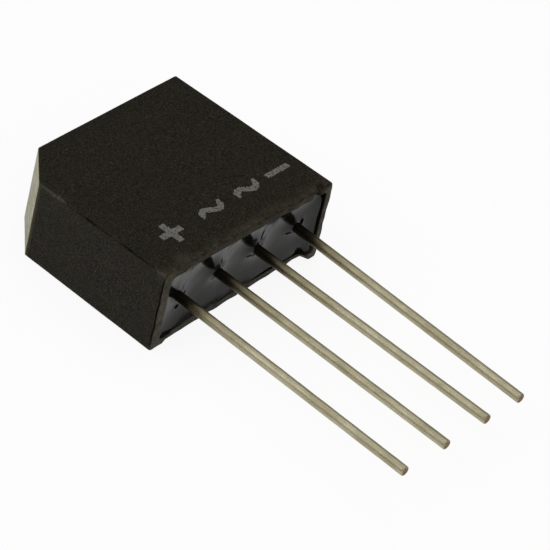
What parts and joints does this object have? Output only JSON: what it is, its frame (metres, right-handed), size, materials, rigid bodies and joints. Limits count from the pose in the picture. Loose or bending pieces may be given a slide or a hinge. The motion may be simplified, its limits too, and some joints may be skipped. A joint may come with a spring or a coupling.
{
  "type": "bridge rectifier",
  "caption": "Single-phase bridge rectifier in a potted black in-line case with one cut corner, polarity signs on its face and straight wire leads for board mounting.",
  "frame": {"origin": "centre of the case's flat back face, on which it lies", "axes": "+Z out of the marked face; +Y from the leads to the closed end; +X from the positive lead to the negative lead"},
  "size_m": [0.016, 0.0333, 0.0063],
  "materials": {
    "case_plastic": "matte",
    "potting_epoxy": "gloss",
    "tinned_wire": "satin",
    "copper_bar": "satin",
    "silicon_die": "satin",
    "solder": "satin"
  },
  "bodies": {
    "root": {"case_shell": "case_plastic", "potting_compound": "potting_epoxy", "lead_plus": "tinned_wire", "lead_ac_1": "tinned_wire", "lead_ac_2": "tinned_wire", "lead_minus": "tinned_wire", "busbar_plus": "copper_bar", "busbar_minus": "copper_bar", "die_plus_1": "silicon_die", "die_plus_2": "silicon_die", "die_minus_1": "silicon_die", "die_minus_2": "silicon_die", "solder_plus_1_lead": "solder", "solder_plus_2_lead": "solder", "solder_minus_1_lead": "solder", "solder_minus_2_lead": "solder", "solder_plus_1_bar": "solder", "solder_plus_2_bar": "solder", "solder_minus_1_bar": "solder", "solder_minus_2_bar": "solder", "solder_bar_plus": "solder", "solder_bar_minus": "solder"}
  },
  "joints": []
}
